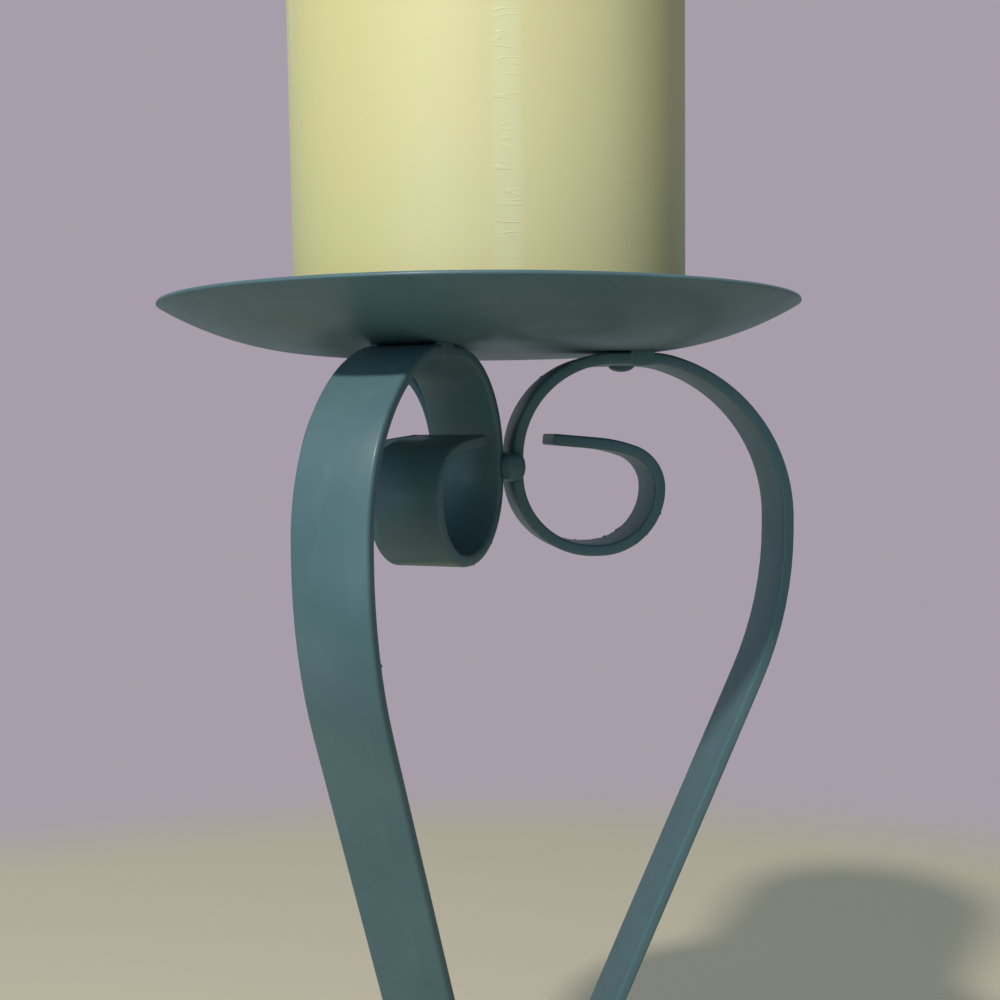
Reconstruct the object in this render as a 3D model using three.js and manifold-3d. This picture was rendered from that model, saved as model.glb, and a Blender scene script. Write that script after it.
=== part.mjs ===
// Table-top candle stand: a shallow spun dish carried by three legs of flat bar, each bent into
// one long S with a scroll under the dish and a turned-up toe, and welded to its neighbours.
// Millimetres, +Z up. The origin is on the stand's axis, on the table.
import * as THREE from 'three';
import { mergeVertices } from 'three/addons/utils/BufferGeometryUtils.js';
import Module from 'manifold-3d';

const wasm = await Module();
wasm.setup();

// ---- driving dimensions ----
const rimHeight = 232; // table to the top of the dish's rim
const seatGap = 0.3; // clearance left between pieces that touch

const candleRadius = 38.2;
const candleHeight = 100;
const candleEdge = 1.5; // rounding of its two rims
const candleDip = 0.8; // the top sinks towards the wick
const candleOffset = 1.5; // the candle was set down this far off the axis, towards the right leg
const wickRadius = 1.1;
const wickSunk = 8; // length of wick in its hole
const wickShown = 11;

const rimMargin = 23.1; // dish rim beyond the candle
const dishDepth = 9.2; // rim down to the underside
const dishFlatRadius = 30;
const sheet = 0.8; // thickness of the dish's steel
const wallSteps = 9;
const roundSteps = 72;

const barWidth = 14;
const barThickness = 2.2;
const barEdge = 0.3; // rounding along the bar's four edges
const legCount = 3;
const edgeGap = 2; // between the edges of neighbouring bars, where welds join them

// The leg, from the scroll's tip to the toe. Radii are those of the bar's centre line.
const tipLength = 8.7;
const tipSlope = 5.3; // degrees
const leadRadius = 28; // the gentle bend that leads into the eye
const leadTurn = 15; // degrees
const eyeRadius = 7.7;
const bellyRadius = 11.9;
const bellyFlat = 1.3;
const heelRadius = 14.7;
const coreFlat = 3.4; // upright stretch that is welded to the neighbours
const riseRadius = 19;
const apexFlat = 6.8; // level stretch under the dish
const neckRadius = 17.6; // where the bar drops away from the dish
const neckTurn = 16; // degrees
const shoulderRadius = 32.1;
const shoulderFlat = 2.2;
const hipRadius = 72.5;
const taperTurn = 24; // degrees that the bar leans in below the hip
const waistRadius = 60;
const waistFlat = 5;
const padFlat = 11; // level stretch that stands on the table
const toeRadius = 7.4;
const toeTurn = 200;
const bendStep = 9; // degrees of one facet in a tight bend
const slowStep = 3.6; // the same in the long bends

const dishBeadSize = new THREE.Vector3(2.7, 1.7, 1.5);
const coreBeadSize = new THREE.Vector3(2.2, 2.6, 3);
const beadDetail = 2;

// ---- values that follow ----
const legTurn = (2 * Math.PI) / legCount;
const underside = rimHeight - dishDepth;
const rimRadius = candleRadius + rimMargin;
const coreRadius = (barWidth + 2 * edgeGap) / 2 / Math.tan(Math.PI / legCount);
const halfBar = barThickness / 2;

// ---- from three.js geometry to solids and back ----
function solidOf(geometry) {
  const bare = geometry.clone();
  bare.deleteAttribute('normal');
  bare.deleteAttribute('uv');
  const merged = mergeVertices(bare, 1e-4);
  return new wasm.Manifold(new wasm.Mesh({
    numProp: 3,
    vertProperties: new Float32Array(merged.attributes.position.array),
    triVerts: new Uint32Array(merged.index.array),
  }));
}

function geometryOf(solid) {
  const mesh = solid.getMesh();
  const geometry = new THREE.BufferGeometry();
  geometry.setAttribute('position', new THREE.BufferAttribute(mesh.vertProperties, 3));
  geometry.setIndex(new THREE.BufferAttribute(mesh.triVerts, 1));
  geometry.computeVertexNormals();
  return geometry;
}

// ---- the dish ----
// The wall is an arc that leaves the flat bottom smoothly. Its sweep is the one that lifts the
// rim's top edge, which the sheet's thickness tilts, to the dish's depth.
const wallRun = rimRadius - dishFlatRadius;
let wallSweep = 0;
for (let i = 0; i < 8; i += 1) {
  wallSweep = 2 * Math.atan2(dishDepth - sheet * Math.cos(wallSweep), wallRun);
}
const wallRadius = wallRun / Math.sin(wallSweep);

function dishFace(inwards) {
  const radius = wallRadius - inwards;
  const face = [new THREE.Vector2(0, underside + inwards)];
  for (let i = 0; i <= wallSteps; i += 1) {
    const angle = (wallSweep * i) / wallSteps;
    const out = dishFlatRadius + radius * Math.sin(angle);
    face.push(new THREE.Vector2(out, underside + wallRadius - radius * Math.cos(angle)));
  }
  return face;
}

function dishFloorAt(radius) {
  const out = Math.max(0, radius - dishFlatRadius);
  return underside + wallRadius - Math.sqrt((wallRadius - sheet) ** 2 - out ** 2);
}

// Turns a profile of (radius, height) points about the upright axis.
function turned(profile) {
  const geometry = new THREE.LatheGeometry(profile, roundSteps);
  geometry.rotateX(Math.PI / 2);
  return geometry;
}

function dishGeometry(grow) {
  return turned([...dishFace(-grow), ...dishFace(sheet + grow).reverse()]);
}

// ---- the candle and its wick ----
const candleFoot = dishFloorAt(candleRadius - candleEdge + candleOffset) + seatGap;
const candleTop = candleFoot + candleHeight;
const wickFoot = candleTop - candleDip - wickSunk;

function roundedCorner(radius, height, from) {
  const corner = [];
  for (let i = 0; i <= 3; i += 1) {
    const angle = from + (i * Math.PI) / 6;
    const out = radius - candleEdge + candleEdge * Math.cos(angle);
    corner.push(new THREE.Vector2(out, height + candleEdge * Math.sin(angle)));
  }
  return corner;
}

function candleGeometry() {
  const hole = wickRadius + seatGap;
  return turned([
    new THREE.Vector2(0, candleFoot),
    ...roundedCorner(candleRadius, candleFoot + candleEdge, -Math.PI / 2),
    ...roundedCorner(candleRadius, candleTop - candleEdge, 0),
    new THREE.Vector2(candleRadius * 0.8, candleTop - candleDip * 0.25),
    new THREE.Vector2(hole, candleTop - candleDip),
    new THREE.Vector2(hole, wickFoot),
    new THREE.Vector2(0, wickFoot),
  ]);
}

function wickGeometry() {
  const wick = new THREE.CylinderGeometry(wickRadius * 0.8, wickRadius, wickSunk + wickShown, 12, 3);
  wick.rotateX(Math.PI / 2);
  wick.translate(0, 0, wickFoot + seatGap + (wickSunk + wickShown) / 2);
  return wick;
}

// ---- the bent bar ----
// A bar bent in one plane, drawn as a smith bends it: straight stretches and turns.
class BarLine {
  constructor() {
    this.points = [];
    this.point = new THREE.Vector2();
    this.heading = 0;
    this.keep();
  }

  keep() {
    const side = new THREE.Vector2(-Math.sin(this.heading), Math.cos(this.heading));
    this.points.push({ at: this.point.clone(), side });
  }

  straight(length) {
    this.point.x += length * Math.cos(this.heading);
    this.point.y += length * Math.sin(this.heading);
    this.keep();
    return this;
  }

  // Positive degrees turn to the left of the heading.
  bend(radius, degrees, step = bendStep) {
    const steps = Math.ceil(Math.abs(degrees) / step);
    const part = THREE.MathUtils.degToRad(degrees / steps);
    const hand = Math.sign(degrees) * radius;
    const { x, y } = this.point;
    const start = this.heading;
    for (let i = 1; i <= steps; i += 1) {
      this.heading = start + part * i;
      this.point.x = x + hand * (Math.sin(this.heading) - Math.sin(start));
      this.point.y = y - hand * (Math.cos(this.heading) - Math.cos(start));
      this.keep();
    }
    return this;
  }

  here() {
    return this.point.clone();
  }

  outline(half) {
    const left = this.points.map(({ at, side }) => at.clone().addScaledVector(side, half));
    const right = this.points.map(({ at, side }) => at.clone().addScaledVector(side, -half));
    return [...left, ...right.reverse()];
  }
}

// Draws the leg from the tip. The taper reaches in to the waist, where the bars meet again, and
// the foot's bend takes up the height that is left.
function drawLeg() {
  const line = new BarLine();
  line.heading = -THREE.MathUtils.degToRad(tipSlope);
  line.points.length = 0;
  line.keep();
  line.straight(tipLength).bend(leadRadius, -leadTurn, slowStep);
  line.bend(eyeRadius, tipSlope + leadTurn - 90).bend(bellyRadius, -90);
  line.straight(bellyFlat).bend(heelRadius, -90);
  const coreLow = line.here();
  line.straight(coreFlat);
  const coreHigh = line.here();
  line.bend(riseRadius, -90);
  const apexIn = line.here();
  line.straight(apexFlat);
  const apexOut = line.here();
  line.bend(neckRadius, -neckTurn, slowStep * 1.6);
  line.bend(shoulderRadius, neckTurn - 90, slowStep * 1.6).straight(shoulderFlat);
  line.bend(hipRadius, -taperTurn, slowStep);
  const lean = THREE.MathUtils.degToRad(taperTurn);
  const waistRun = waistRadius * (1 - Math.cos(lean));
  line.straight((line.here().x - coreHigh.x - waistRun) / Math.sin(lean));
  line.bend(waistRadius, taperTurn, slowStep);
  const waistHigh = line.here();
  line.straight(waistFlat);
  const waistLow = line.here();
  const fullDrop = underside - seatGap - barThickness;
  const footRadius = fullDrop - (apexIn.y - waistLow.y);
  line.bend(footRadius, 90, slowStep * 1.6);
  const padIn = line.here();
  line.straight(padFlat).bend(toeRadius, toeTurn, bendStep * 1.6);
  const shift = new THREE.Vector2(coreRadius + halfBar - coreHigh.x, halfBar - padIn.y);
  const marks = { coreLow, coreHigh, apexIn, apexOut, waistHigh, waistLow, padIn };
  Object.values(marks).forEach((mark) => mark.add(shift));
  line.points.forEach(({ at }) => at.add(shift));
  return { line, marks };
}

const { line: legLine, marks } = drawLeg();

function legGeometry(grow, edge) {
  const geometry = new THREE.ExtrudeGeometry(new THREE.Shape(legLine.outline(halfBar + grow)), {
    depth: barWidth + 2 * grow - 2 * edge,
    bevelEnabled: edge > 0,
    bevelThickness: edge,
    bevelSize: edge,
    bevelOffset: -edge,
    bevelSegments: 1,
  });
  geometry.translate(0, 0, edge - barWidth / 2 - grow);
  geometry.rotateX(Math.PI / 2);
  return geometry;
}

// ---- weld beads ----
// A bead is a lump of weld metal, with the room for what it joins cut out of it.
const legRoom = solidOf(legGeometry(seatGap, 0));
const nextLegRoom = legRoom.rotate([0, 0, 360 / legCount]);
const dishRoom = solidOf(dishGeometry(seatGap));

function beadGeometry(centre, size, turn, rooms) {
  const lump = new THREE.IcosahedronGeometry(1, beadDetail);
  lump.scale(size.x, size.y, size.z);
  lump.rotateZ(turn);
  lump.translate(centre.x, centre.y, centre.z);
  return geometryOf(rooms.reduce((left, room) => left.subtract(room), solidOf(lump)));
}

// Joins one edge of the bar to the dish above it.
function dishBead(side) {
  const centre = new THREE.Vector3(
    marks.apexOut.x,
    side * (barWidth / 2 + dishBeadSize.y * 0.45),
    underside - seatGap - halfBar,
  );
  return beadGeometry(centre, dishBeadSize, 0, [legRoom, dishRoom]);
}

// Fills the corner between two neighbouring bars, halfway between them.
function coreBead(low, high) {
  const corner = Math.hypot(coreRadius, barWidth / 2);
  const centre = new THREE.Vector3(corner + edgeGap / 4, 0, (low.y + high.y) / 2);
  centre.applyAxisAngle(new THREE.Vector3(0, 0, 1), legTurn / 2);
  return beadGeometry(centre, coreBeadSize, legTurn / 2, [legRoom, nextLegRoom]);
}

// ---- finishes ----
const paint = { color: 0x6d9a99, roughness: 0.42, metalness: 0.1 };
const wax = { color: 0xe2dcae, roughness: 0.5, metalness: 0 };
const cotton = { color: 0xe8e4d8, roughness: 0.9, metalness: 0 };

function piece(name, geometry, finish) {
  const mesh = new THREE.Mesh(geometry, new THREE.MeshStandardMaterial(finish));
  mesh.name = name;
  return mesh;
}

// ---- assembly ----
const stand = new THREE.Group();
stand.add(piece('dish', dishGeometry(0), paint));

const legNames = ['right', 'rear', 'front'];
legNames.forEach((name, i) => {
  const next = legNames[(i + 1) % legCount];
  const leg = new THREE.Group();
  leg.rotation.z = legTurn * i;
  leg.add(
    piece(`leg_${name}`, legGeometry(0, barEdge), paint),
    piece(`dish_weld_${name}_a`, dishBead(-1), paint),
    piece(`dish_weld_${name}_b`, dishBead(1), paint),
    piece(`scroll_weld_${name}_${next}`, coreBead(marks.coreLow, marks.coreHigh), paint),
    piece(`waist_weld_${name}_${next}`, coreBead(marks.waistLow, marks.waistHigh), paint),
  );
  stand.add(leg);
});

const candle = new THREE.Group();
candle.position.x = candleOffset;
candle.add(piece('candle', candleGeometry(), wax), piece('wick', wickGeometry(), cotton));

const group = new THREE.Group();
group.add(stand, candle);

export default group;
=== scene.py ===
"""Table-top candle stand: a shallow spun dish on three legs of flat bar, bent into scrolls and
welded, with a pillar candle standing in the dish. Lengths are in metres, +Z up, and the origin
is on the stand's axis, on the table."""

import math
import random

import bmesh
import bpy
from bpy.props import FloatProperty, FloatVectorProperty, IntProperty, PointerProperty
from mathutils import Matrix, Vector


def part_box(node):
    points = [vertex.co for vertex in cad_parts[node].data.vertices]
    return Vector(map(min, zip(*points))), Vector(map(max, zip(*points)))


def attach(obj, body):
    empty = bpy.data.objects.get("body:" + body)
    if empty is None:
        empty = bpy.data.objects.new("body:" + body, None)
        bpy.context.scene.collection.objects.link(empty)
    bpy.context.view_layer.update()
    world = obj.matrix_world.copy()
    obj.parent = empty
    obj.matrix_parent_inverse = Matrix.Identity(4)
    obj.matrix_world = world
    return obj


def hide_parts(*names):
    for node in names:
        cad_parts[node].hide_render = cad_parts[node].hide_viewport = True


bl_info = {
    "name": "Scroll-leg candle stand",
    "version": (1, 0, 0),
    "blender": (4, 5, 0),
    "location": "3D View > Sidebar > Candle stand",
    "description": "Models a painted steel candle stand with its candle, and a plain stage",
    "category": "Add Mesh",
}

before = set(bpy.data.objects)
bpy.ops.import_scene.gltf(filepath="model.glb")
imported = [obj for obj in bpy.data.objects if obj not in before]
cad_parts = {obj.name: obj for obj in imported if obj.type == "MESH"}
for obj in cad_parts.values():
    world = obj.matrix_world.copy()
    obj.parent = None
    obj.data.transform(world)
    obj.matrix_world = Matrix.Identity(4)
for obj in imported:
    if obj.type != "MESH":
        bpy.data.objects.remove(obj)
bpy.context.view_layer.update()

MM = 0.001
TOUCHING = 1e-6  # points nearer than this are one point
STAND, CANDLE = "stand", "candle"
LEG_NAMES = ("right", "rear", "front")
LEG_TURN = math.tau / len(LEG_NAMES)

dish_low, dish_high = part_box("dish")
leg_low, leg_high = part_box("leg_right")
candle_low, candle_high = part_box("candle")
wick_low, wick_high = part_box("wick")


# ---------------------------------------------------------------- sizes and colours


def length(name, description, millimetres):
    """A length that the panel shows in the scene's own units."""
    return FloatProperty(
        name=name, description=description, default=millimetres * MM,
        unit="LENGTH", precision=4,
    )


def angle(name, description, degrees):
    """An angle that the panel shows in degrees."""
    return FloatProperty(
        name=name, description=description, default=math.radians(degrees),
        unit="ROTATION", subtype="ANGLE",
    )


def share(name, description, default):
    """A plain number that one size or weight is of another."""
    return FloatProperty(name=name, description=description, default=default, min=0)


def count(name, description, default):
    return IntProperty(name=name, description=description, default=default, min=0)


def colour(name, description, red, green, blue):
    """A colour given as it looks, from 0 to 255, and kept as light."""
    def light(level):
        part = level / 255
        return part / 12.92 if part <= 0.04045 else ((part + 0.055) / 1.055) ** 2.4

    return FloatVectorProperty(
        name=name, description=description, subtype="COLOR", min=0, max=1,
        default=(light(red), light(green), light(blue)),
    )


class LegSizes(bpy.types.PropertyGroup):
    """One leg, from the scroll's tip to the toe. Radii are those of the bar's centre line."""

    bar_width: length("Bar width", "Width of the flat bar", 14)
    bar_thickness: length("Bar thickness", "Thickness of the flat bar", 2.2)
    bar_edge: length("Bar edge", "Rounding along the bar's edges", 0.6)
    tip: length("Tip", "Straight end of the scroll", 8.7)
    tip_slope: angle("Tip slope", "How far the scroll's tip points down", 5.3)
    lead_radius: length("Lead radius", "Gentle bend that leads into the eye", 28)
    lead_turn: angle("Lead turn", "Turn of that bend", 15)
    eye_radius: length("Eye radius", "Tight bend round the scroll's eye", 7.7)
    belly_radius: length("Belly radius", "Underside of the scroll", 11.9)
    belly_flat: length("Belly flat", "Straight stretch at the scroll's lowest point", 1.3)
    heel_radius: length("Heel radius", "Bend up towards the other legs", 14.7)
    core_flat: length("Core flat", "Upright stretch welded to the other legs", 3.4)
    rise_radius: length("Rise radius", "Bend up to the dish", 19)
    apex_flat: length("Apex flat", "Level stretch welded to the dish", 6.8)
    neck_radius: length("Neck radius", "Bend that drops away from the dish", 17.6)
    neck_turn: angle("Neck turn", "Turn of that bend", 16)
    shoulder_radius: length("Shoulder radius", "Broad outer bend", 32.1)
    shoulder_flat: length("Shoulder flat", "Upright stretch under the shoulder", 2.2)
    hip_radius: length("Hip radius", "Slow bend into the taper", 72.5)
    taper_turn: angle("Taper", "How far the leg leans in below the hip", 24)
    waist_radius: length("Waist radius", "Bend back to upright at the waist", 60)
    waist_flat: length("Waist flat", "Upright stretch where the legs meet again", 5)
    pad_flat: length("Pad flat", "Level stretch on the table", 11)
    toe_radius: length("Toe radius", "Curl of the toe", 7.4)
    toe_turn: angle("Toe turn", "How far the toe curls back", 200)
    facet: angle("Facet", "Turn of one facet in a bend", 3)
    end_edge: length("End edge", "Rounding round the bar's two ends", 0.36)


class DishSizes(bpy.types.PropertyGroup):
    """The spun dish."""

    flat_radius: length("Flat radius", "Radius of the level bottom", 30)
    sheet: length("Sheet", "Thickness of the steel", 0.8)
    rim_edge: length("Rim edge", "Rounding of the rim", 0.28)
    segments: count("Segments", "Steps round the dish", 192)
    wall_steps: count("Wall steps", "Rings up the wall", 16)


class WeldSizes(bpy.types.PropertyGroup):
    """The beads that join the legs to the dish and to each other, and the paint's nibs."""

    dish_run: length("Dish bead run", "Length of a bead along the bar, under the dish", 4.8)
    dish_proud: length("Dish bead proud", "How far it stands out past the bar's edge", 0.2)
    dish_depth: length("Dish bead depth", "How far it reaches in between bar and dish", 1.6)
    dish_back: length("Dish bead back", "How far it lies towards the axis from its solid", 1.3)
    dish_lap: length("Dish bead lap", "Height added so that it meets bar and dish", 0.5)
    dish_roundness: share("Dish bead roundness", "From a block at 0 to a ball at 1", 0.3)
    sag: length("Sag", "How far the right leg's far bead hangs below the bar", 0.5)
    sag_spread: length("Sag spread", "How much wider that bead is than the others", 2)
    sag_back: length("Sag back", "How much nearer to the axis it lies", 1.5)
    sag_roundness: share("Sag roundness", "How round that bead is", 0.85)
    core_width: length("Core bead width", "Across the gap between two bars", 4.3)
    core_depth: length("Core bead depth", "From the axis outwards", 3.87)
    core_height: length("Core bead height", "Along the bars", 4.6)
    core_proud: length("Core bead proud", "How far it stands out past its solid", 0.4)
    core_roundness: share("Core bead roundness", "From a block at 0 to a ball at 1", 0.75)
    shake: share("Shake", "Unevenness of a bead, as a share of its size", 0.035)
    nib_radius: length("Nib radius", "Largest nib of dust under the paint", 0.38)
    nibs: count("Nibs", "Nibs along each leg's edges", 26)
    patch_nibs: count("Patch nibs", "More nibs inside the right scroll's bottom", 26)
    seed: count("Seed", "Start of the random draws", 7)


class CandleSizes(bpy.types.PropertyGroup):
    """The pillar candle and its wick."""

    edge: length("Edge", "Rounding of the candle's rims", 1.5)
    dip: length("Dip", "How far the top sinks towards the wick", 0.8)
    draw_in: length("Draw-in", "How much narrower the candle is at its foot", 1.0)
    segments: count("Segments", "Steps round the candle", 192)
    wick_room: length("Wick room", "Gap round and under the wick", 0.3)
    strands: count("Strands", "Strands in the wick", 3)
    strand: share("Strand", "Radius of one strand, of the wick's own", 0.54)
    wick_steps: count("Wick steps", "Rings up the wick", 44)
    wick_twist: angle("Wick twist", "Turn of the strands over the wick's length", 1150)
    wick_tip: share("Wick tip", "Width of the wick's top, of its own below", 0.7)


class Finishes(bpy.types.PropertyGroup):
    """Colours as they look in plain light."""

    paint: colour("Paint", "Duck-egg blue satin paint", 77, 101, 104)
    paint_deep: colour("Deep paint", "The paint where it lies thicker", 69, 95, 99)
    paint_rubbed: colour("Rubbed paint", "The paint where it is rubbed pale", 112, 142, 144)
    wax: colour("Wax", "Cream candle wax", 215, 203, 151)
    # Yellower wax. On the candle it is a painted warm tint of the key light on its lit side. The
    # wick's darker fibres use it too.
    yellow_wax_and_painted_warm_light: colour("Warm wax", "The wax's yellower side", 207, 196, 134)
    # Painted shade: the darker wax that the candle's right side turns to, away from the key
    # lamp.
    wax_painted_shade: colour("Deep wax", "The wax's deeper side", 178, 160, 100)
    # Pale wax. On the front seam it is the wax's own colour. On the left strip it is a painted
    # highlight of the key lamp.
    seam_wax_and_painted_highlight: colour("Seam", "The paler strips down the candle", 219, 219, 178)
    cotton: colour("Cotton", "Wick", 228, 222, 205)
    floor: colour("Floor", "Pale floor", 203, 189, 164)
    background: colour("Background", "Pale surroundings, as the camera sees them", 168, 158, 171)


class StageSizes(bpy.types.PropertyGroup):
    """Floor, key lamp and camera."""

    camera_distance: length("Camera distance", "From the stand's axis, level", 272.5)
    camera_height: length("Camera height", "Above the table", 207.7)
    camera_azimuth: angle("Camera azimuth", "From the front towards the left", 7.18)
    camera_heading: angle("Camera heading", "Clockwise from +Y", 7.95)
    camera_tilt: angle("Camera tilt", "Downwards", 2.87)
    camera_roll: angle("Camera roll", "Clockwise", -0.445)
    camera_lens: FloatProperty(name="Lens", description="Millimetres on a 36 mm sensor",
                               default=50.18)
    key_bearing: angle("Key bearing", "Where its light travels to, from +X towards +Y", 56)
    key_drop: angle("Key drop", "How steeply its light falls", 46)
    key_distance: length("Key distance", "From the point that it faces", 1200)
    key_size: length("Key size", "Width of the lamp", 70)
    key_power: FloatProperty(name="Key power", description="In watts", default=13)
    floor_solid: length("Solid floor", "Radius where the floor starts to fade", 420)
    floor_reach: length("Floor reach", "Radius where it has faded away", 560)


class CandleStandSettings(bpy.types.PropertyGroup):
    """Everything that can be set, by piece."""

    leg: PointerProperty(type=LegSizes)
    dish: PointerProperty(type=DishSizes)
    weld: PointerProperty(type=WeldSizes)
    candle: PointerProperty(type=CandleSizes)
    finish: PointerProperty(type=Finishes)
    stage: PointerProperty(type=StageSizes)


# ---------------------------------------------------------------- materials


class Value:
    """What a node gives out. Sums of values add the Math nodes that work them out."""

    def __init__(self, maker, socket):
        self.maker = maker
        self.socket = socket

    def __add__(self, other):
        return self.maker.math("ADD", self, other)

    def __sub__(self, other):
        return self.maker.math("SUBTRACT", self, other)

    def __rsub__(self, other):
        return self.maker.math("SUBTRACT", other, self)

    def __mul__(self, other):
        return self.maker.math("MULTIPLY", self, other)

    __radd__ = __add__
    __rmul__ = __mul__


class Maker:
    """Adds nodes to a tree."""

    def __init__(self, tree):
        self.tree = tree

    def feed(self, socket, value):
        """Links a value to a socket, or sets the socket to a number, colour or vector."""
        if isinstance(value, Value):
            self.tree.links.new(value.socket, socket)
        elif hasattr(value, "__len__") and len(socket.default_value) == 4:
            socket.default_value = (*value, 1)
        else:
            socket.default_value = value

    def node(self, kind, inputs=(), output=0, **settings):
        """Adds a node. Inputs are (name or identifier, value) pairs."""
        made = self.tree.nodes.new(kind)
        for name, value in settings.items():
            setattr(made, name, value)
        for key, value in dict(inputs).items():
            self.feed(next(s for s in made.inputs if key in (s.identifier, s.name)), value)
        return Value(self, made.outputs[output])

    def math(self, operation, first, second=0.0):
        return self.node(
            "ShaderNodeMath", [("Value", first), ("Value_001", second)], operation=operation,
        )

    def place(self, centre=(0, 0, 0), stretch=(1, 1, 1)):
        """Object coordinates, measured from a centre."""
        where = self.node("ShaderNodeTexCoord", output=3)
        offset = tuple(-c * s for c, s in zip(centre, stretch))
        return self.node(
            "ShaderNodeMapping", [("Vector", where), ("Location", offset), ("Scale", stretch)],
        )

    def split(self, vector):
        """The X, Y and Z of a vector."""
        parts = self.node("ShaderNodeSeparateXYZ", [("Vector", vector)]).socket.node.outputs
        return [Value(self, part) for part in parts]

    def noise(self, where, scale, detail=2.0, roughness=0.5):
        """Clouds from 0 to 1, about as many to the metre as the scale says."""
        return self.node(
            "ShaderNodeTexNoise",
            [("Vector", where), ("Scale", scale), ("Detail", detail), ("Roughness", roughness)],
        )

    def spots(self, where, scale, smallest, largest):
        """1 in the middle of scattered round spots and 0 between them."""
        distance = self.node("ShaderNodeTexVoronoi", [("Vector", where), ("Scale", scale)])
        return self.node("ShaderNodeMapRange", [
            ("Value", distance), ("From Min", smallest), ("From Max", largest),
            ("To Min", 1.0), ("To Max", 0.0),
        ], interpolation_type="SMOOTHSTEP")

    def ramp(self, value, start, end):
        """0 at the start and 1 at the end, eased in between. The end may be the lower one."""
        return self.node("ShaderNodeMapRange", [
            ("Value", value), ("From Min", start), ("From Max", end),
        ], interpolation_type="SMOOTHSTEP")

    def mix(self, share, first, second):
        return self.node("ShaderNodeMix", [
            ("Factor_Float", share), ("A_Color", first), ("B_Color", second),
        ], output=2, data_type="RGBA")

    def bump(self, height, distance, under=None):
        """A surface raised by up to the distance, over another bump if one is given."""
        inputs = [("Height", height), ("Distance", distance), ("Strength", 1.0)]
        if under:
            inputs.append(("Normal", under))
        return self.node("ShaderNodeBump", inputs)


class Finish(Maker):
    """A material under construction, with one Principled shader."""

    def __init__(self, name, **uniform):
        self.material = bpy.data.materials.new(name)
        self.material.use_nodes = True
        super().__init__(self.material.node_tree)
        self.shader = self.tree.nodes["Principled BSDF"]
        self.set(**uniform)

    def set(self, **sockets):
        """Feeds the shader's sockets, whose names are written with underscores."""
        for socket, value in sockets.items():
            self.feed(self.shader.inputs[socket.replace("_", " ")], value)
        return self.material


def satin_paint(colours):
    """Satin brushed-on paint: faintly clouded and lumpy, with pale rubbed spots."""
    paint = Finish("satin_paint", Coat_Weight=0.12, Coat_Roughness=0.2, Specular_IOR_Level=0.22)
    where = paint.place()
    clouds = paint.noise(where, 48, detail=3)
    streaks = paint.noise(paint.place(stretch=(1, 1, 0.25)), 380)
    base = paint.mix(paint.ramp(clouds, 0.3, 0.7), colours.paint_deep, colours.paint)
    base = paint.mix(paint.ramp(streaks, 0.5, 0.85) * 0.1, base, colours.paint_rubbed)
    grain = paint.noise(where, 2400)
    lumps = paint.noise(where, 420)
    return paint.set(
        Base_Color=base, Normal=paint.bump(grain * 0.2 + lumps, 0.03 * MM),
        Roughness=0.38 + paint.noise(where, 150, detail=3) * 0.12,
    )


def cream_wax(colours, centre):
    """Cream wax, with a painted warm tint of the key light on its lit left, painted shade
    darkening its right, a few dark specks, a pale crinkled strip down its front where its mould
    parted, and a painted highlight of the key lamp on a crinkled strip near its left edge. The
    strips and the warm tint are on its wall and not on its top; the painted shade reaches across
    the top too."""
    wax = Finish(
        "cream_wax", Subsurface_Weight=0.1, Subsurface_Scale=0.004,
        Coat_Weight=0.1, Coat_Roughness=0.25, IOR=1.44,
    )
    where = wax.place(centre)
    across, depth, height = wax.split(where)
    bearing = wax.math("ARCTAN2", across, depth * -1)
    from_axis = wax.math("SQRT", across * across + depth * depth)
    wall = wax.ramp(from_axis, 32 * MM, 36 * MM)

    clouds = wax.noise(wax.place(centre, (1, 1, 0.3)), 24, detail=3)
    # Painted light: the wall turned towards the key lamp is tinted warmer and yellower, as the
    # warm key light falls on it.
    lit_side = math.radians(-62)
    off_lit_side = wax.math("ABSOLUTE", bearing - lit_side)
    side = wax.ramp(off_lit_side, 0.95, 0.1) * wall
    base = wax.mix(side * 0.75 + clouds * 0.25, colours.wax, colours.yellow_wax_and_painted_warm_light)
    # Painted shade: the wax darkens towards the right, the side turned from the key lamp. This
    # reaches across the top too.
    base = wax.mix(wax.ramp(across, 14 * MM, 40 * MM), base, colours.wax_painted_shade)

    fine = wax.noise(wax.place(centre, (1, 1, 0.12)), 300, detail=3, roughness=0.6)
    patches = wax.ramp(wax.noise(wax.place(centre, (1, 1, 2)), 190), 0.4, 0.6)
    folds = wax.noise(wax.place(centre, (1, 1, 6)), 85, roughness=0.4)
    wrinkle = wax.ramp(wax.math("ABSOLUTE", folds - 0.5), 0.04, 0.0)
    upper_half = wax.ramp(height, -12 * MM, 12 * MM)
    front_seam = (math.radians(-2), math.radians(4.9), 0.3)
    # Painted highlight: the pale strip near the left edge, on the upper half, stands for the key
    # lamp's reflection on the crinkled wrap. The crinkles themselves are bumps.
    left_highlight_strip = (math.radians(-78), math.radians(1.8), upper_half * 0.4)
    crinkles = 0.0
    for seam, half_width, strength in (front_seam, left_highlight_strip):
        off_seam = wax.math("ABSOLUTE", bearing - seam)
        strip = wax.ramp(off_seam, half_width, half_width * 0.4) * wall
        # Pale seam wax on the front strip. On the left strip the same pale colour is a painted
        # highlight.
        base = wax.mix(strip * strength, base, colours.seam_wax_and_painted_highlight)
        crinkles = wrinkle * strip * patches + crinkles
    bump = wax.bump(crinkles, 0.04 * MM, under=wax.bump(fine, 0.03 * MM))

    specks = wax.spots(where, 40, 0.012, 0.022)
    base = wax.mix(specks * 0.5, base, colours.paint_deep)
    return wax.set(Base_Color=base, Normal=bump, Roughness=0.4 + fine * 0.12)


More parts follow.
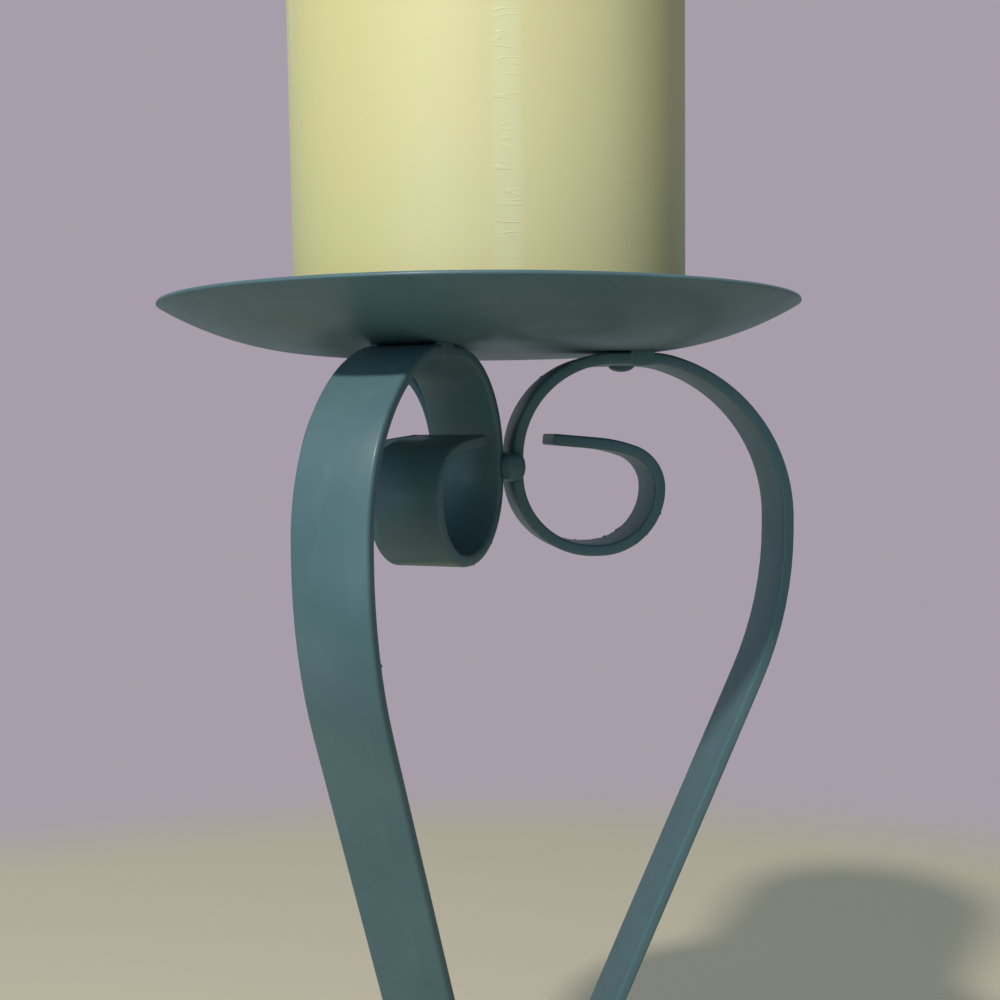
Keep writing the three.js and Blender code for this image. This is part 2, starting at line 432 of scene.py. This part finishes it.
def wick_yarn(colours):
    """Plaited cotton, with fine fibres along the strands."""
    cotton = Finish("wick_yarn", Roughness=0.9, Sheen_Weight=0.3)
    fibres = cotton.noise(cotton.place(stretch=(1, 1, 0.3)), 5200, detail=3)
    shade = cotton.mix(cotton.ramp(fibres, 0.3, 0.7), colours.yellow_wax_and_painted_warm_light, colours.cotton)
    return cotton.set(Base_Color=shade, Normal=cotton.bump(fibres, 0.08 * MM))


def pale_floor(colours, solid, reach):
    """Matt floor with the faintest mottle, faded out into the surroundings."""
    matt = Finish("pale_floor", Specular_IOR_Level=0.2, Roughness=0.9)
    where = matt.place()
    mottle = matt.noise(where, 9, detail=3)
    slightly_darker = tuple(level * 0.97 for level in colours.floor)
    distance = matt.node(
        "ShaderNodeVectorMath", [("Vector", where)], output=1, operation="LENGTH",
    )
    return matt.set(
        Base_Color=matt.mix(mottle, slightly_darker, colours.floor),
        Alpha=1 - matt.ramp(distance, solid, reach),
    )


# ---------------------------------------------------------------- modelling helpers


def start_piece():
    """Leaves edit mode and selects nothing, before a primitive is added."""
    if bpy.context.object and bpy.context.object.mode != "OBJECT":
        bpy.ops.object.mode_set(mode="OBJECT")
    bpy.ops.object.select_all(action="DESELECT")


def edit(kind="FACE", chosen=None):
    """Enters edit mode with the parts selected that pass the test."""
    bpy.ops.object.mode_set(mode="EDIT")
    bpy.ops.mesh.select_mode(type=kind)
    bpy.ops.mesh.select_all(action="DESELECT")
    mesh = bmesh.from_edit_mesh(bpy.context.object.data)
    parts = {"VERT": mesh.verts, "EDGE": mesh.edges, "FACE": mesh.faces}[kind]
    for part in parts:
        if chosen is None or chosen(part):
            part.select_set(True)
    mesh.select_flush_mode()
    bmesh.update_edit_mesh(bpy.context.object.data)


def leave_edit():
    """Goes back to object mode, where the mesh holds the edit."""
    bpy.ops.object.mode_set(mode="OBJECT")


def push(offset):
    """Extrudes what is selected by an offset."""
    bpy.ops.mesh.extrude_region_move(TRANSFORM_OT_translate={"value": tuple(offset)})


def close_up():
    """Merges doubles and turns the faces outwards."""
    edit()
    bpy.ops.mesh.remove_doubles(threshold=TOUCHING)
    bpy.ops.mesh.normals_make_consistent(inside=False)
    leave_edit()


def modify(kind, **settings):
    """Adds a modifier to the current piece and applies it."""
    piece = bpy.context.object
    modifier = piece.modifiers.new(kind.title(), kind)
    for name, value in settings.items():
        setattr(modifier, name, value)
    bpy.ops.object.modifier_apply(modifier=modifier.name)


def soften(degrees=35):
    """Shades smooth over all edges but the sharper ones."""
    bpy.ops.object.shade_smooth_by_angle(angle=math.radians(degrees))


def settle(name, material, slot, body, *nodes):
    """Names the current piece, puts its place in its mesh, and ties it to the frame."""
    leave_edit()
    piece = bpy.context.object
    bpy.ops.object.transform_apply(location=True, rotation=True, scale=True)
    piece.name = name
    piece.data.name = name
    piece.data.materials.clear()
    piece.data.materials.append(material)
    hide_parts(*nodes)
    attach(piece, body)
    return piece


def copy_of(piece):
    """A copy with its own mesh."""
    copy = piece.copy()
    copy.data = piece.data.copy()
    bpy.context.scene.collection.objects.link(copy)
    return copy


def material(name, make, *inputs):
    """The material of that name, made the first time it is asked for."""
    return bpy.data.materials.get(name) or make(*inputs)


# ---------------------------------------------------------------- the dish


class CANDLESTAND_OT_dish(bpy.types.Operator):
    """Spin the shallow dish from its level bottom out to the rim"""

    bl_idname = "candlestand.dish"
    bl_label = "Dish"

    def execute(self, context):
        settings = context.scene.candle_stand
        dish = settings.dish
        rim = dish_high.x
        depth = dish_high.z - dish_low.z
        sweep = wall_sweep(rim - dish.flat_radius, depth, dish.sheet)
        radius = (rim - dish.flat_radius) / math.sin(sweep)
        start_piece()
        bpy.ops.mesh.primitive_circle_add(
            vertices=dish.segments, radius=dish.flat_radius, fill_type="NGON",
            location=(0, 0, dish_low.z),
        )
        bpy.ops.object.transform_apply()
        edit("EDGE")
        height, reach = dish_low.z, dish.flat_radius
        for step in range(1, dish.wall_steps + 1):
            turn = sweep * step / dish.wall_steps
            wide = dish.flat_radius + radius * math.sin(turn)
            high = dish_low.z + radius * (1 - math.cos(turn))
            bpy.ops.mesh.extrude_edges_move(
                TRANSFORM_OT_translate={"value": (0, 0, high - height)})
            bpy.ops.transform.resize(
                value=(wide / reach, wide / reach, 1), center_override=(0, 0, high))
            height, reach = high, wide
        edit("FACE", lambda face: len(face.verts) > 4)
        for ring in (0.25, 0.3):
            bpy.ops.mesh.inset(thickness=dish.flat_radius * ring)
        close_up()
        if bpy.context.object.data.polygons[0].normal.z > 0:
            edit()
            bpy.ops.mesh.flip_normals()
            leave_edit()
        modify("SOLIDIFY", thickness=dish.sheet, offset=-1)
        low_rim = height - dish.sheet
        edit("EDGE", lambda edge: is_rim(edge, reach - dish.sheet, low_rim))
        bpy.ops.mesh.bevel(offset=dish.rim_edge, segments=4, affect="EDGES")
        leave_edit()
        soften()
        paint = material("satin_paint", satin_paint, settings.finish)
        settle("dish_pan", paint, "painted_steel", STAND, "dish")
        return {"FINISHED"}


def wall_sweep(run, depth, sheet):
    """Turn of the wall's arc, which leaves the bottom level and lifts the rim to its height. It
    depends on how the sheet leans at the rim, so it is closed in on."""
    sweep = 0.0
    for _ in range(8):
        sweep = 2 * math.atan2(depth - sheet * math.cos(sweep), run)
    return sweep


def is_rim(edge, reach, low):
    """Whether an edge runs round one of the rim's two corners."""
    first, second = (vertex.co for vertex in edge.verts)
    level = abs(first.z - second.z) < 0.01 * MM
    wide = all(math.hypot(end.x, end.y) > reach for end in (first, second))
    above = min(first.z, second.z) > low
    return level and wide and above and edge.calc_length() > 0.1 * MM


# ---------------------------------------------------------------- the legs


class BarBender:
    """Pushes and spins the selected section along, and keeps its place and heading."""

    def __init__(self, facet):
        self.at = Vector((0, 0, 0))
        self.heading = 0.0
        self.facet = facet

    def ahead(self):
        """Unit vector along the heading."""
        return Vector((math.cos(self.heading), 0, math.sin(self.heading)))

    def left(self):
        """Unit vector to the left of the heading."""
        return Vector((-math.sin(self.heading), 0, math.cos(self.heading)))

    def straight(self, run):
        push(self.ahead() * run)
        self.at += self.ahead() * run

    def bend(self, radius, turn):
        """A positive turn is to the left of the heading, seen from the front."""
        centre = self.at + self.left() * math.copysign(radius, turn)
        bpy.ops.mesh.spin(
            steps=math.ceil(abs(turn) / self.facet), angle=abs(turn), center=centre,
            axis=(0, math.copysign(1, turn), 0),
        )
        self.at = centre + Matrix.Rotation(-turn, 3, "Y") @ (self.at - centre)
        self.heading += turn


def bend_leg(leg):
    """Bends one leg in the XZ plane from its tip to its toe. Gives the shift that puts it in
    place, with its core against the axis and its apex under the dish."""
    bar = BarBender(leg.facet)
    bar.heading = -leg.tip_slope
    bpy.ops.mesh.primitive_plane_add(size=1, rotation=(0, math.pi / 2 - bar.heading, 0))
    bpy.ops.object.transform_apply(location=False, rotation=False, scale=True)
    edit("FACE")
    bpy.ops.transform.resize(value=(leg.bar_thickness, leg.bar_width, 1),
                             orient_type="LOCAL", center_override=(0, 0, 0))
    leave_edit()
    bpy.ops.object.transform_apply()
    edit("FACE")
    bpy.ops.mesh.bevel(offset=leg.bar_edge, segments=4, affect="VERTICES")
    quarter = math.pi / 2
    bar.straight(leg.tip)
    bar.bend(leg.lead_radius, -leg.lead_turn)
    bar.bend(leg.eye_radius, leg.tip_slope + leg.lead_turn - quarter)
    bar.bend(leg.belly_radius, -quarter)
    bar.straight(leg.belly_flat)
    bar.bend(leg.heel_radius, -quarter)
    bar.straight(leg.core_flat)
    core = bar.at.copy()
    bar.bend(leg.rise_radius, -quarter)
    bar.straight(leg.apex_flat)
    apex = bar.at.copy()
    bar.bend(leg.neck_radius, -leg.neck_turn)
    bar.bend(leg.shoulder_radius, leg.neck_turn - quarter)
    bar.straight(leg.shoulder_flat)
    bar.bend(leg.hip_radius, -leg.taper_turn)
    waist_run = leg.waist_radius * (1 - math.cos(leg.taper_turn))
    bar.straight((bar.at.x - core.x - waist_run) / math.sin(leg.taper_turn))
    bar.bend(leg.waist_radius, leg.taper_turn)
    bar.straight(leg.waist_flat)
    foot_radius = leg_high.z - leg.bar_thickness - (apex.z - bar.at.z)
    bar.bend(foot_radius, quarter)
    bar.straight(leg.pad_flat)
    bar.bend(leg.toe_radius, leg.toe_turn)
    leave_edit()
    return Vector((leg_low.x + leg.bar_thickness / 2 - core.x, 0,
                   leg_high.z - leg.bar_thickness / 2 - apex.z))


def scatter_nibs(bar, spots, largest, draws):
    """Joins nibs of dust, painted over, to a bar at the given spots."""
    smallest, sunk = 0.4, 0.35  # of the largest radius, and of a nib's own
    start_piece()
    for number, (spot, out) in enumerate(spots):
        radius = draws.uniform(smallest, 1.0) * largest
        bpy.ops.mesh.primitive_ico_sphere_add(
            subdivisions=2, radius=radius, location=spot - out * radius * sunk)
        if number == 0:
            bpy.ops.object.mode_set(mode="EDIT")
    leave_edit()
    nibs = bpy.context.object
    start_piece()
    bpy.context.view_layer.objects.active = bar
    bar.select_set(True)
    modify("BOOLEAN", operation="UNION", object=nibs, solver="MANIFOLD")
    bpy.data.objects.remove(nibs)


def nib_spots(bar, edge_count, patch_count, draws):
    """Places along the bar's rounded edges, and in a patch inside the scroll's bottom. A spin
    leaves its faces in no fixed order, so they are sorted by their corners before the draw."""
    ordered = sorted(bar.data.polygons, key=lambda face: sorted(face.vertices))
    above_table = 2 * MM
    corners = [face for face in ordered
               if 0.25 < abs(face.normal.y) < 0.97 and face.center.z > above_table]
    patch = [face for face in corners if in_patch(face.center, face.normal)]
    chosen = draws.sample(corners, edge_count) + draws.sample(patch, patch_count)
    return [(face.center.copy(), face.normal.copy()) for face in chosen]


def in_patch(spot, out):
    """Whether a place is at the far edge inside the scroll's bottom."""
    outwards = (spot.x - leg_low.x) / (leg_high.x - leg_low.x)
    at_bottom = 0.15 < outwards < 0.5 and 180 * MM < spot.z < 189 * MM
    return at_bottom and out.z > 0 and out.y > 0


class CANDLESTAND_OT_legs(bpy.types.Operator):
    """Bend the flat bar into one scroll leg, round its ends, and copy it round the axis"""

    bl_idname = "candlestand.legs"
    bl_label = "Legs"

    def execute(self, context):
        settings = context.scene.candle_stand
        leg, weld = settings.leg, settings.weld
        start_piece()
        shift = bend_leg(leg)
        first = bpy.context.object
        first.data.transform(Matrix.Translation(shift))
        close_up()
        edit("EDGE", lambda edge: any(len(face.verts) > 4 for face in edge.link_faces))
        bpy.ops.mesh.bevel(offset=leg.end_edge, segments=3, affect="EDGES")
        leave_edit()
        paint = material("satin_paint", satin_paint, settings.finish)
        draws = random.Random(weld.seed)
        bars = [first] + [copy_of(first) for _ in LEG_NAMES[1:]]
        for step, (bar, name) in enumerate(zip(bars, LEG_NAMES)):
            patch_nibs = weld.patch_nibs if name == "right" else 0
            spots = nib_spots(bar, weld.nibs, patch_nibs, draws)
            scatter_nibs(bar, spots, weld.nib_radius, draws)
            bar.data.transform(Matrix.Rotation(LEG_TURN * step, 4, "Z"))
            soften()
            settle("leg_bar_" + name, paint, "painted_steel", STAND, "leg_" + name)
        return {"FINISHED"}


# ---------------------------------------------------------------- the welds


def weld_lump(centre, size, roundness, shake, seed):
    """A lump of weld metal: a block, cut up, rounded, shaken and smoothed."""
    start_piece()
    bpy.ops.mesh.primitive_cube_add(size=1)
    edit()
    bpy.ops.mesh.subdivide(number_cuts=3)
    bpy.ops.transform.tosphere(value=roundness)
    bpy.ops.transform.vertex_random(offset=shake, seed=seed)
    bpy.ops.transform.resize(value=tuple(size), center_override=(0, 0, 0))
    bpy.ops.transform.translate(value=tuple(centre))
    leave_edit()
    modify("SUBSURF", levels=2, render_levels=2)
    soften(60)


class CANDLESTAND_OT_welds(bpy.types.Operator):
    """Lay the weld beads between legs and dish, and between neighbouring legs"""

    bl_idname = "candlestand.welds"
    bl_label = "Weld beads"

    def execute(self, context):
        settings = context.scene.candle_stand
        weld, leg = settings.weld, settings.leg
        paint = material("satin_paint", satin_paint, settings.finish)
        draws = random.Random(weld.seed)
        for step, name in enumerate(LEG_NAMES):
            after = LEG_NAMES[(step + 1) % len(LEG_NAMES)]
            for side, letter in ((-1, "a"), (1, "b")):
                sagging = (name, letter) == ("right", "b")
                self.dish_bead(weld, leg, side, sagging, draws.randrange(1000))
                self.place(step, f"dish_weld_{name}_{letter}", paint)
            for joint in ("scroll", "waist"):
                self.core_bead(weld, joint, draws.randrange(1000))
                self.place(step, f"{joint}_weld_{name}_{after}", paint)
        return {"FINISHED"}

    def dish_bead(self, weld, leg, side, sagging, seed):
        """Fills the corner between the arch's top, its edge and the dish."""
        low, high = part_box("dish_weld_right_a")
        sag, spread, back = 0.0, 0.0, 0.0
        roundness = weld.dish_roundness
        if sagging:
            sag, spread, back = weld.sag, weld.sag_spread, weld.sag_back
            roundness = weld.sag_roundness
        top, bottom = dish_low.z, leg_high.z - leg.bar_thickness - sag
        width = weld.dish_proud + weld.dish_depth + spread
        centre = ((low.x + high.x) / 2 - weld.dish_back - back,
                  side * (leg.bar_width / 2 + weld.dish_proud - width / 2),
                  (bottom + top) / 2)
        size = (weld.dish_run, width, top - bottom + weld.dish_lap)
        weld_lump(centre, size, roundness, weld.shake, seed)

    def core_bead(self, weld, joint, seed):
        """Fills the gap between the edges of two neighbouring bars, and bulges out of it."""
        low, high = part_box(joint + "_weld_right_rear")
        middle = (low + high) / 2
        away = math.hypot(middle.x, middle.y) + weld.core_proud
        size = (weld.core_depth, weld.core_width, weld.core_height)
        weld_lump((away, 0, middle.z), size, weld.core_roundness, weld.shake, seed)
        bpy.context.object.data.transform(Matrix.Rotation(LEG_TURN / 2, 4, "Z"))

    def place(self, step, node, paint):
        """Turns a bead made for the right leg to its own leg."""
        bpy.context.object.data.transform(Matrix.Rotation(LEG_TURN * step, 4, "Z"))
        settle("bead_" + node, paint, "painted_steel", STAND, node)


# ---------------------------------------------------------------- the candle


# Rings in the candle's top, from the rim inwards: radius as a share of the candle's, and how
# much further each sinks, as a share of the dip. The wick hole's own ring sinks by the rest.
DIP_RINGS = ((0.86, 0.06), (0.6, 0.3), (0.35, 0.3), (0.12, 0.24))
HOLE_SINKS = 0.1


class CANDLESTAND_OT_candle(bpy.types.Operator):
    """Cast the pillar candle, with its rounded rims, sunken top and wick hole"""

    bl_idname = "candlestand.candle"
    bl_label = "Candle"

    def execute(self, context):
        settings = context.scene.candle_stand
        candle = settings.candle
        centre = (candle_low + candle_high) / 2
        radius = (candle_high.y - candle_low.y) / 2
        hole = (wick_high.y - wick_low.y) / 2 + candle.wick_room
        start_piece()
        bpy.ops.mesh.primitive_cylinder_add(
            vertices=candle.segments, radius=radius, depth=candle_high.z - candle_low.z,
            end_fill_type="NGON", location=centre,
        )
        bpy.ops.object.transform_apply()
        edit("VERT", lambda vert: vert.co.z < centre.z)
        foot = 1 - candle.draw_in / (radius * 2)
        bpy.ops.transform.resize(
            value=(foot, foot, 1), center_override=(candle_high.x, centre.y, candle_low.z))
        leave_edit()
        edit("EDGE", lambda edge: abs(edge.verts[0].co.z - edge.verts[1].co.z) < TOUCHING)
        bpy.ops.mesh.bevel(offset=candle.edge, segments=8, affect="EDGES", clamp_overlap=True)
        edit("FACE", lambda face: face.normal.z > 0.999 and len(face.verts) > 8)
        dip_at = (centre.x, centre.y, candle_high.z)
        rings = [(wide * radius, sinks) for wide, sinks in DIP_RINGS] + [(hole, HOLE_SINKS)]
        reach = radius - candle.edge
        for ring, sinks in rings:
            shrink = ring / reach
            bpy.ops.mesh.inset(thickness=TOUCHING)
            bpy.ops.transform.resize(value=(shrink, shrink, 1), center_override=dip_at)
            bpy.ops.transform.translate(value=(0, 0, -candle.dip * sinks))
            reach = ring
        hole_bottom = wick_low.z - candle.wick_room
        push((0, 0, hole_bottom - (candle_high.z - candle.dip)))
        close_up()
        soften()
        wax = material("cream_wax", cream_wax, settings.finish, centre)
        settle("pillar_candle", wax, "candle_wax", CANDLE, "candle")
        return {"FINISHED"}


class CANDLESTAND_OT_wick(bpy.types.Operator):
    """Twist the wick from cotton strands"""

    bl_idname = "candlestand.wick"
    bl_label = "Wick"

    def execute(self, context):
        settings = context.scene.candle_stand
        candle = settings.candle
        centre = (wick_low + wick_high) / 2
        radius = (wick_high.y - wick_low.y) / 2
        strand = radius * candle.strand
        away = radius - strand
        start_piece()
        for step in range(candle.strands):
            turn = math.tau * step / candle.strands
            place = (centre.x + away * math.cos(turn), centre.y + away * math.sin(turn),
                     wick_low.z)
            bpy.ops.mesh.primitive_circle_add(
                vertices=14, radius=strand, fill_type="NGON", location=place)
            if step == 0:
                first = bpy.context.object
            else:
                first.select_set(True)
                bpy.context.view_layer.objects.active = first
                bpy.ops.object.join()
        bpy.ops.object.transform_apply()
        edit()
        rise = (wick_high.z - wick_low.z) / candle.wick_steps
        twist = candle.wick_twist / candle.wick_steps
        axis_at = Vector((centre.x, centre.y, wick_low.z))
        for _ in range(candle.wick_steps):
            push((0, 0, rise))
            axis_at.z += rise
            bpy.ops.transform.rotate(value=twist, orient_axis="Z", center_override=axis_at)
        tip = candle.wick_tip
        bpy.ops.transform.resize(value=(tip, tip, 1), center_override=axis_at)
        close_up()
        soften(50)
        cotton = material("wick_yarn", wick_yarn, settings.finish)
        settle("candle_wick", cotton, "wick_cotton", CANDLE, "wick")
        return {"FINISHED"}


# ---------------------------------------------------------------- the stage


LIT_POINT = Vector((0, 0, 0.2))  # on the axis, between the waist and the dish
KEY_TINT = (1, 0.985, 0.95)
# Name, width in metres, power in watts, place and tint.
SOFTBOXES = (
    ("side_softbox", 1, 5, Vector((-0.95, -1.1, 0.14)), (0.5, 0.78, 1)),
    ("overhead_softbox", 0.9, 3, Vector((0, 0, 1.5)), (0.92, 0.96, 1)),
)
FILL_TINT, FILL_STRENGTH = (0.66, 0.85, 1), 0.38
MIRRORED = 0.2  # how much of the pale background shows in reflections


def add_lamp(name, size, power, place, tint):
    """A round area lamp that faces the lit point."""
    bpy.ops.object.light_add(type="AREA", location=place)
    lamp = bpy.context.object
    lamp.name = name
    lamp.data.shape = "DISK"
    lamp.data.size = size
    lamp.data.energy = power
    lamp.data.color = tint
    lamp.rotation_euler = (LIT_POINT - place).to_track_quat("-Z", "Y").to_euler()


class CANDLESTAND_OT_stage(bpy.types.Operator):
    """Lay the pale floor, and set up the camera, the lamps and the pale surroundings"""

    bl_idname = "candlestand.stage"
    bl_label = "Stage"

    def execute(self, context):
        settings = context.scene.candle_stand
        stage = settings.stage
        self.floor(stage, settings.finish)
        self.camera(context, stage)
        self.light(stage)
        self.surroundings(context, settings.finish)
        return {"FINISHED"}

    def floor(self, stage, colours):
        """A disc in three rings, a little wider than where it has faded away."""
        inner, outer = 0.5, 2.2  # of the middle ring
        start_piece()
        bpy.ops.mesh.primitive_circle_add(
            vertices=96, radius=stage.floor_reach / 2, fill_type="NGON")
        edit()
        bpy.ops.mesh.inset(thickness=0)
        bpy.ops.transform.resize(value=(inner, inner, 1), center_override=(0, 0, 0))
        edit("EDGE", lambda edge: edge.is_boundary)
        bpy.ops.mesh.extrude_edges_move()
        bpy.ops.transform.resize(value=(outer, outer, 1), center_override=(0, 0, 0))
        leave_edit()
        floor = bpy.context.object
        floor.name = "floor"
        floor.data.materials.append(pale_floor(colours, stage.floor_solid, stage.floor_reach))

    def camera(self, context, stage):
        """The camera at the photograph's place."""
        bpy.ops.object.camera_add()
        camera = bpy.context.object
        camera.data.lens = stage.camera_lens
        camera.data.clip_start = 0.01
        place = Vector((-stage.camera_distance * math.sin(stage.camera_azimuth),
                        -stage.camera_distance * math.cos(stage.camera_azimuth),
                        stage.camera_height))
        look = (Matrix.Rotation(-stage.camera_heading, 4, "Z")
                @ Matrix.Rotation(math.pi / 2 - stage.camera_tilt, 4, "X")
                @ Matrix.Rotation(stage.camera_roll, 4, "Z"))
        camera.matrix_world = Matrix.Translation(place) @ look
        context.scene.camera = camera

    def light(self, stage):
        """A small key lamp over the camera's left shoulder, a cool softbox at its left, and
        another overhead."""
        towards = Vector((math.cos(stage.key_bearing) * math.cos(stage.key_drop),
                          math.sin(stage.key_bearing) * math.cos(stage.key_drop),
                          -math.sin(stage.key_drop)))
        key_place = LIT_POINT - towards * stage.key_distance
        add_lamp("key_lamp", stage.key_size, stage.key_power, key_place, KEY_TINT)
        for softbox in SOFTBOXES:
            add_lamp(*softbox)

    def surroundings(self, context, colours):
        """A dim world that looks pale to the camera, and partly so in reflections."""
        world = bpy.data.worlds.new("pale_surroundings")
        context.scene.world = world
        world.use_nodes = True
        maker = Maker(world.node_tree)
        seen = maker.node("ShaderNodeLightPath", output="Is Camera Ray")
        rays = seen.socket.node.outputs
        mirrored = Value(maker, rays["Is Glossy Ray"]) * MIRRORED
        through = Value(maker, rays["Is Transmission Ray"])
        pale = maker.math("MAXIMUM", maker.math("MAXIMUM", seen, mirrored), through)
        fill = maker.node(
            "ShaderNodeBackground", [("Color", FILL_TINT), ("Strength", FILL_STRENGTH)])
        shown = maker.node("ShaderNodeBackground", [("Color", colours.background)])
        both = maker.node(
            "ShaderNodeMixShader", [("Fac", pale), ("Shader", fill), ("Shader_001", shown)])
        output = world.node_tree.nodes["World Output"]
        world.node_tree.links.new(both.socket, output.inputs["Surface"])
        context.scene.view_settings.view_transform = "Standard"


# ---------------------------------------------------------------- panel and registration


OPERATORS = (
    CANDLESTAND_OT_stage,
    CANDLESTAND_OT_dish,
    CANDLESTAND_OT_legs,
    CANDLESTAND_OT_welds,
    CANDLESTAND_OT_candle,
    CANDLESTAND_OT_wick,
)


class CANDLESTAND_PT_panel(bpy.types.Panel):
    """Lists the pieces and their sizes"""

    bl_idname = "CANDLESTAND_PT_panel"
    bl_label = "Candle stand"
    bl_space_type = "VIEW_3D"
    bl_region_type = "UI"
    bl_category = "Candle stand"

    def draw(self, context):
        for operator in OPERATORS:
            self.layout.operator(operator.bl_idname)
        settings = context.scene.candle_stand
        for group in ("leg", "dish", "weld", "candle", "finish", "stage"):
            box = self.layout.box()
            box.label(text=group.title())
            sizes = getattr(settings, group)
            for name in sizes.__annotations__:
                box.prop(sizes, name)


CLASSES = (
    LegSizes, DishSizes, WeldSizes, CandleSizes, Finishes, StageSizes, CandleStandSettings,
    *OPERATORS, CANDLESTAND_PT_panel,
)


def register():
    for cls in CLASSES:
        bpy.utils.register_class(cls)
    bpy.types.Scene.candle_stand = PointerProperty(type=CandleStandSettings)


def unregister():
    del bpy.types.Scene.candle_stand
    for cls in reversed(CLASSES):
        bpy.utils.unregister_class(cls)


def main():
    register()
    for operator in OPERATORS:
        group, name = operator.bl_idname.split(".")
        getattr(getattr(bpy.ops, group), name)()


if __name__ == "__main__":
    main()
